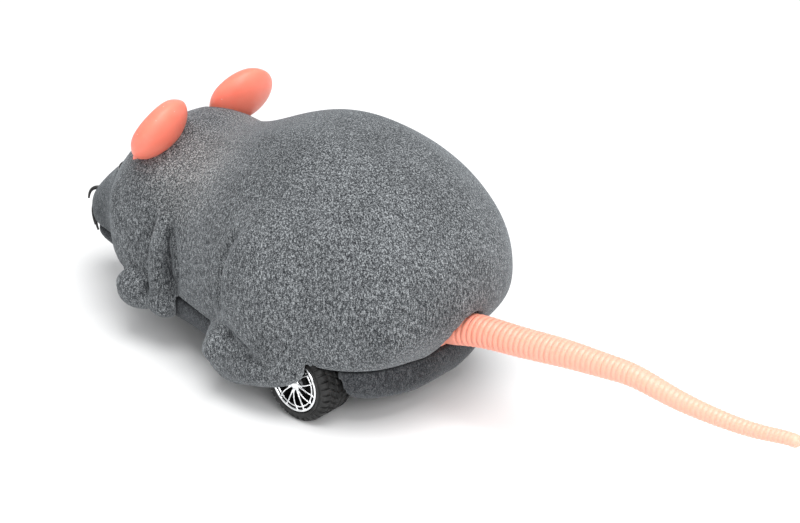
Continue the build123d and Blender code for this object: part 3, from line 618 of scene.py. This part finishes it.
def casing():
    """The flocked top casing, with softened creases, mouth and eyelids."""
    piece = cad_copy("upper_shell", "casing")
    thicken_rump(piece)
    voxelled(piece, CASING_VOXEL)
    skin = Skin(piece)
    wheel_low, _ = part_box("left_tyre")
    z = skin.points[:, 2]
    edge = wheel_low.z + PARTING_HEIGHT
    soft = smooth_step(z, edge + 0.8 * MM, edge + 4 * MM)
    skin.relax(6, 0.55)
    skin.fill_creases(5, 0.5, soft)
    skin.relax(8, 0.5, 0.3 + 0.7 * soft)
    for line, depth, width in FOLDS:
        press_fold(skin, line, depth * MM, width * MM)
    skin.relax(1, 0.3)
    skin.done()
    return finish_piece(piece, "upper_shell", sharp=0)


def belly_pan():
    """The dark flocked pan under the casing."""
    piece = voxelled(cad_copy("lower_shell", "belly_pan"), PAN_VOXEL)
    skin = Skin(piece)
    skin.relax(6, 0.5)
    skin.done()
    return finish_piece(piece, "lower_shell", sharp=0)


# ---------------------------------------------------------------- ears, eyes, nose
EAR_RADII = (3.2 * MM, 8.9 * MM, 9.4 * MM)   # of the CAD disc: half thickness, width, height
EAR_GROWTH = (1.55, 1.03, 1.02)               # the shown lens against the CAD disc
EAR_SINK = 0.9 * MM                           # how much deeper it sits on the head
EAR_TILT = (0.0, math.radians(-33), math.radians(11))


def ear_frame():
    """The left ear's centre and turn, worked out from its box."""
    turn = Euler(EAR_TILT, "XYZ").to_matrix()
    low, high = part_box("left_ear")
    half = [math.sqrt(sum((turn[axis][k] * EAR_RADII[k]) ** 2 for k in range(3))) for axis in range(3)]
    return Vector((low.x + half[0], high.y - half[1], high.z - half[2])), turn


def ear_disc(centre, turn):
    """The ear's lens, with a shallow cup on its front."""
    thick, across, tall = (radius * growth for radius, growth in zip(EAR_RADII, EAR_GROWTH))
    rings, spokes = 22, 64
    points, faces = [], []
    for side in (-1, 1):
        for ring in range(rings + 1):
            share = math.sin(ring / rings * math.pi / 2)
            depth = thick * (1 - share ** 2.0) ** 0.6
            if side > 0:
                depth *= 1 - 0.62 * float(smooth_step(np.array(share), 0.86, 0.25))
            for spoke in range(spokes):
                angle = spoke * 2 * math.pi / spokes
                point = 0.97 + 0.03 * math.cos(2 * angle)
                local = Vector((side * depth, across * share * math.cos(angle) * point,
                                tall * share * math.sin(angle)))
                points.append(centre + turn @ local)
    for start in (0, (rings + 1) * spokes):
        faces += [tuple(start + corner for corner in face)
                  for face in loft_faces(rings + 1, spokes, False)]
    return facing_out(mesh_object("ear_disc", points, faces))


def ear_stem(centre, turn):
    """The plug from the ear's middle down into the head."""
    work = bmesh.new()
    bmesh.ops.create_cone(work, cap_ends=True, segments=32, radius1=STEM_RADIUS,
                          radius2=STEM_RADIUS, depth=STEM_LENGTH)
    mesh = bpy.data.meshes.new("ear_stem")
    work.to_mesh(mesh)
    work.free()
    drop = Vector((0, 0, STEM_LENGTH / 2))
    write_points(mesh, np.array([centre + turn @ (vertex.co - drop) for vertex in mesh.vertices]))
    return new_object("ear_stem", mesh)


def ear(name):
    """A cupped lens of vinyl with a rounded rim, on its stem."""
    centre, turn = ear_frame()
    centre = centre - turn @ Vector((0, 0, EAR_SINK))
    whole = joined(name, [ear_disc(centre, turn), ear_stem(centre, turn)])
    weld = whole.modifiers.new("Weld", "WELD")
    weld.merge_threshold = 1e-7
    settle(whole)
    voxelled(whole, EAR_VOXEL)
    skin = Skin(whole)
    skin.fill_creases(12, 0.5)
    skin.relax(10, 0.5)
    skin.done()
    return whole


def ears():
    left = ear("left_ear_vinyl")
    right = mirror_copy(left, "right_ear_vinyl")
    finish_piece(left, "left_ear", sharp=0)
    finish_piece(right, "right_ear", sharp=0)


def bead(name, node, radius, sink, dimples=()):
    """A glossy ball in a CAD ball's place, sunk by a vector, with small dimples pressed in it."""
    low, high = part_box(node)
    centre = (low + high) / 2 + Vector(sink)
    work = bmesh.new()
    bmesh.ops.create_icosphere(work, subdivisions=5, radius=radius)
    mesh = bpy.data.meshes.new(name)
    work.to_mesh(mesh)
    work.free()
    points = read_points(mesh)
    for direction in dimples:
        spot = np.array(Vector(direction).normalized()) * radius
        near = np.linalg.norm(points - spot, axis=1)
        points *= 1 - 0.22 * smooth_step(near, 0.62 * MM, 0.1 * MM)[:, None]
    write_points(mesh, points + np.array(centre))
    return finish_piece(new_object(name, mesh), node, sharp=0)


def face_beads():
    """The eyes, sunk in their sockets, and the nose with its nostrils."""
    bead("left_eye_bead", "left_eye", 2.1 * MM, (0, -0.9 * MM, -0.3 * MM))
    bead("right_eye_bead", "right_eye", 2.1 * MM, (0, 0.9 * MM, -0.3 * MM))
    bead("nose_bead", "nose", 1.9 * MM, (-0.5 * MM, 0, 0), ((1.0, 0.55, -0.3), (1.0, -0.55, -0.3)))


def whisker(root, middle, tip):
    """One tapering, drooping whisker through three points."""
    rings, columns = 18, 12
    points = []
    for ring in range(rings + 1):
        t = ring / rings
        place = root * (1 - t) * (1 - 2 * t) + middle * 4 * t * (1 - t) + tip * t * (2 * t - 1)
        along = root * (4 * t - 3) + middle * (4 - 8 * t) + tip * (4 * t - 1)
        across = along.cross(Vector((1, 0, 0))).normalized()
        beside = along.cross(across).normalized()
        radius = WHISKER_RADIUS[0] + (WHISKER_RADIUS[1] - WHISKER_RADIUS[0]) * t ** 1.5
        for column in range(columns):
            angle = column * 2 * math.pi / columns
            points.append(place + (across * math.cos(angle) + beside * math.sin(angle)) * radius)
    faces = loft_faces(rings + 1, columns, False)
    faces.append(tuple(range(columns)))
    faces.append(tuple(reversed(range(rings * columns, (rings + 1) * columns))))
    return facing_out(mesh_object("whisker", points, faces))


def whiskers():
    """Three whiskers each side, measured from the middle of the nose."""
    nose = nose_middle()
    parts = []
    for line in WHISKER_LINES:
        parts.append(whisker(*(nose + Vector(place) * MM for place in line)))
    left = joined("left_whisker_set", parts)
    right = mirror_copy(left, "right_whisker_set")
    finish_piece(left, "left_whiskers", sharp=60)
    finish_piece(right, "right_whiskers", sharp=60)


# ---------------------------------------------------------------- tail
def tail_line():
    """Centre height and radius of the CAD tail at even steps from root to tip."""
    mesh = frame["nodes"]["tail"].data
    tree = BVHTree.FromPolygons([v.co for v in mesh.vertices], [p.vertices for p in mesh.polygons])
    low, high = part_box("tail")
    far = 0.1
    stations = []
    count = int((high.x - low.x) / TAIL_STEP)
    for step in range(count + 1):
        x = high.x - (high.x - low.x) * step / count
        x = min(max(x, low.x + 0.02 * MM), high.x - 0.02 * MM)
        top = tree.ray_cast(Vector((x, 0, far)), Vector((0, 0, -1)))[0]
        bottom = tree.ray_cast(Vector((x, 0, -far)), Vector((0, 0, 1)))[0]
        if top is None or bottom is None:
            continue
        stations.append((x, (top.z + bottom.z) / 2, (top.z - bottom.z) / 2))
    return stations


def tail():
    """The tail with its rounded ribs."""
    stations = tail_line()
    root_x, tip_x = stations[0][0], stations[-1][0]
    start = root_x - 7.5 * MM
    columns = 44
    rings = []
    phase = 0.0
    previous = root_x
    for x, z, radius in stations:
        share = min(max((start - x) / (start - tip_x), 0), 1)
        pitch = RIB_PITCH[0] + share * (RIB_PITCH[1] - RIB_PITCH[0])
        depth = RIB_DEPTH[0] + share * (RIB_DEPTH[1] - RIB_DEPTH[0])
        phase += (previous - x) / pitch * math.pi
        previous = x
        groove = 1 - abs(math.sin(phase)) ** 0.7
        fade = min(max((start - x) / (1.0 * MM), 0), 1) * min(max((x - tip_x - 1.0 * MM) / (2.0 * MM), 0), 1)
        rings.append((x, z, radius - depth * groove * fade))
    points = []
    for x, z, radius in rings:
        for column in range(columns):
            angle = column * 2 * math.pi / columns
            points.append((x, radius * math.cos(angle), z + radius * math.sin(angle)))
    faces = loft_faces(len(rings), columns, False)
    faces.append(tuple(range(columns)))
    faces.append(tuple(reversed(range(len(points) - columns, len(points)))))
    piece = facing_out(mesh_object("tail_vinyl", points, faces))
    return finish_piece(piece, "tail", sharp=60)


# ---------------------------------------------------------------- wheels
def left_wheel():
    """The left wheel's middle, half its width, and its radius."""
    low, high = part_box("left_tyre")
    return (low + high) / 2, (high.y - low.y) / 2, (high.z - low.z) / 2


def tyre(name):
    """The left tyre: rounded shoulders, grooves round it, slanted sipes and shoulder lugs."""
    centre, half, radius = left_wheel()
    inner_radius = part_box("left_wheel_core")[1].z - centre.z
    shoulder, wall = 1.5 * MM, 0.35 * MM
    flank = [(inner_radius, -half + 0.5 * MM), (inner_radius + 0.2 * MM, -half + 0.1 * MM),
             (inner_radius + 0.9 * MM, -half), (radius - shoulder - 0.3 * MM, -half + wall)]
    for step in range(7):
        angle = step / 7 * math.pi / 2
        flank.append((radius - shoulder + shoulder * math.sin(angle),
                      -half + wall + shoulder * (1 - math.cos(angle))))
    tread = half - wall - shoulder
    count = 44
    face = [(radius, -tread + 2 * tread * step / count) for step in range(count + 1)]
    profile = flank + face + [(r, -y) for r, y in reversed(flank)]

    def treaded(angle, radii, along):
        turn = angle / (2 * math.pi) * TREAD_BLOCKS
        across = np.abs(along)
        outer = smooth_step(radii, radius - shoulder, radius - shoulder * 0.6)
        groove = np.zeros_like(radii)
        for place in GROOVE_PLACES:
            groove = np.maximum(groove, 1 - smooth_step(np.abs(across - place), 0.14 * MM, 0.32 * MM))
        inside = across < GROOVE_PLACES[1]
        slant = np.where(inside, across / (2.6 * MM), 0.5)
        saw = np.abs((turn + slant) % 1 - 0.5)
        sipe = 1 - smooth_step(saw, 0.07, 0.17)
        lug = 1 - smooth_step(saw, 0.1, 0.19)
        cut = np.where(inside, sipe * 0.75, lug)
        return radii - GROOVE_DEPTH * np.maximum(groove, cut) * outer

    piece = turned(name, profile, TREAD_BLOCKS * 10, centre, treaded)
    return facing_out(piece)


def wheel_core(name):
    """The black wheel body behind the spokes, with its hub and stiffening webs."""
    piece = cad_copy("left_wheel_core", name)
    voxelled(piece, 0.3 * MM)
    skin = Skin(piece)
    skin.relax(4, 0.5)
    skin.done()
    return piece


def spoke(angle, lean, start, end, centre, face, width):
    """One thin bar of the rim, from the hub to the ring, bowed outward."""
    points = []
    steps = 10
    for step in range(steps + 1):
        share = step / steps
        distance = start + (end - start) * share
        turn = angle + lean * (share ** 1.5)
        along = Vector((math.cos(turn), 0, math.sin(turn)))
        across = Vector((-along.z, 0, along.x))
        middle = centre + along * distance
        middle.y = face - 0.35 * MM + 0.25 * MM * math.sin(share * math.pi)
        half_width = width * (0.62 - 0.12 * share)
        for dy, dw in ((0.28, 0.55), (0.28, -0.55), (-0.25, -1), (-0.25, 1)):
            points.append(middle + across * half_width * dw + Vector((0, dy * MM, 0)))
    faces = []
    for row in range(steps):
        for column in range(4):
            beside = (column + 1) % 4
            faces.append((row * 4 + column, row * 4 + beside, row * 4 + 4 + beside, row * 4 + 4 + column))
    faces.append((0, 1, 2, 3))
    faces.append(tuple(steps * 4 + corner for corner in (3, 2, 1, 0)))
    return facing_out(mesh_object("spoke", points, faces))


def ring(radius, thickness, depth, centre, face):
    """A rounded hoop, its outer face at y = face."""
    profile = []
    for step in range(16):
        angle = step * 2 * math.pi / 16
        profile.append((radius + thickness / 2 * math.cos(angle),
                        face - centre.y - depth / 2 + depth / 2 * math.sin(angle)))
    return facing_out(turned("ring", profile, 160, centre))


def rim(name):
    """The bright insert of the left wheel: two hoops, paired spokes and a capped hub."""
    centre, half, _ = left_wheel()
    low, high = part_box("left_rim")
    radius = (high.x - low.x) / 2
    face = centre.y + half
    parts = [ring(radius - 0.36 * MM, 0.72 * MM, 0.7 * MM, centre, face),
             ring(radius - 1.45 * MM, 0.42 * MM, 0.5 * MM, centre, face - 0.12 * MM)]
    for pair in range(SPOKE_PAIRS):
        base = pair * 2 * math.pi / SPOKE_PAIRS + 0.35
        for lean in (-1, 1):
            parts.append(spoke(base + lean * 0.13, lean * 0.16, 1.5 * MM, radius - 0.5 * MM,
                               centre, face, 0.44 * MM))
    cap_profile = [(0.02 * MM, 0.42), (0.7 * MM, 0.36), (1.15 * MM, 0.12), (1.45 * MM, -0.1),
                   (1.5 * MM, -0.5), (0.02 * MM, -0.5)]
    parts.append(facing_out(turned("cap", [(r, face - centre.y + y * MM - 0.2 * MM) for r, y in cap_profile],
                                   48, centre)))
    piece = voxelled(joined(name, parts), RIM_VOXEL)
    skin = Skin(piece)
    skin.relax(4, 0.5)
    skin.done()
    return piece


def wheels():
    for build, kind in ((tyre, "tyre"), (wheel_core, "wheel_core"), (rim, "rim")):
        left = build(f"left_{kind}_shown")
        right = mirror_copy(left, f"right_{kind}_shown")
        finish_piece(left, f"left_{kind}")
        finish_piece(right, f"right_{kind}")


# ---------------------------------------------------------------- key and running gear
def key():
    """The winding key with its edges rounded by tumbling."""
    piece = voxelled(cad_copy("winding_key", "butterfly_key"), KEY_VOXEL)
    skin = Skin(piece)
    skin.fill_creases(8, 0.5)
    skin.relax(6, 0.5)
    skin.done()
    return finish_piece(piece, "winding_key", sharp=0)


def cad_nodes():
    """Procedural materials on the CAD nodes that stay."""
    for node, shown in frame["nodes"].items():
        shown.data.materials.clear()
        shown.data.materials.append(MATERIALS[SLOT_OF[node]])


# ---------------------------------------------------------------- studio
def area_light(name, place, target, size, power, colour=(1, 1, 1)):
    light = bpy.data.lights.new(name, "AREA")
    light.shape = "DISK"
    light.size = size
    light.energy = power
    light.color = colour
    lamp = new_object(name, light)
    lamp.location = place
    lamp.rotation_euler = (Vector(target) - Vector(place)).to_track_quat("-Z", "Y").to_euler()
    return lamp


def pale_floor():
    """A wide plane at the height of the ground."""
    mesh = bpy.data.meshes.new("floor")
    corners = [(x * FLOOR_REACH, y * FLOOR_REACH, 0) for x, y in ((-1, -1), (1, -1), (1, 1), (-1, 1))]
    mesh.from_pydata(corners, [], [(0, 1, 2, 3)])
    floor = new_object("floor", mesh)
    shader = Shader("floor_white", roughness=0.75, Specular_IOR_Level=0.2)
    shader.set("Base Color", rgba(FLOOR_TONE))
    floor.data.materials.append(shader.material)


def surroundings():
    """Even pale light from all round."""
    world = bpy.data.worlds.new("studio")
    world.use_nodes = True
    background = world.node_tree.nodes["Background"]
    background.inputs["Color"].default_value = rgba((0.98, 0.99, 1.0))
    background.inputs["Strength"].default_value = WORLD_STRENGTH
    bpy.context.scene.world = world


def camera(middle):
    """The camera, behind the mouse on its left."""
    data = bpy.data.cameras.new("camera")
    data.lens = CAMERA_LENS
    data.clip_start = 0.01
    seen_by = new_object("camera", data)
    azimuth, elevation = math.radians(CAMERA_AZIMUTH), math.radians(CAMERA_ELEVATION)
    forward = Vector((math.sin(azimuth) * math.cos(elevation),
                      -math.cos(azimuth) * math.cos(elevation), -math.sin(elevation)))
    seen_by.location = middle + Vector(CAMERA_AIM) - forward * CAMERA_DISTANCE
    seen_by.rotation_euler = forward.to_track_quat("-Z", "Y").to_euler()
    bpy.context.scene.camera = seen_by


def studio():
    """Pale floor, soft overhead light, pale surroundings and the camera."""
    middle = (CAD_BOX[0] + CAD_BOX[1]) / 2
    pale_floor()
    surroundings()
    area_light("overhead", (-0.15, 0.1, 0.75), middle, 0.6, 5.0)
    area_light("rear_left", (-0.6, 0.35, 0.45), middle, 0.4, 2.6)
    camera(middle)
    bpy.context.scene.view_settings.view_transform = "Standard"


MATERIALS = make_materials()
studio()
cad_nodes()
casing()
belly_pan()
ears()
face_beads()
whiskers()
tail()
wheels()
key()
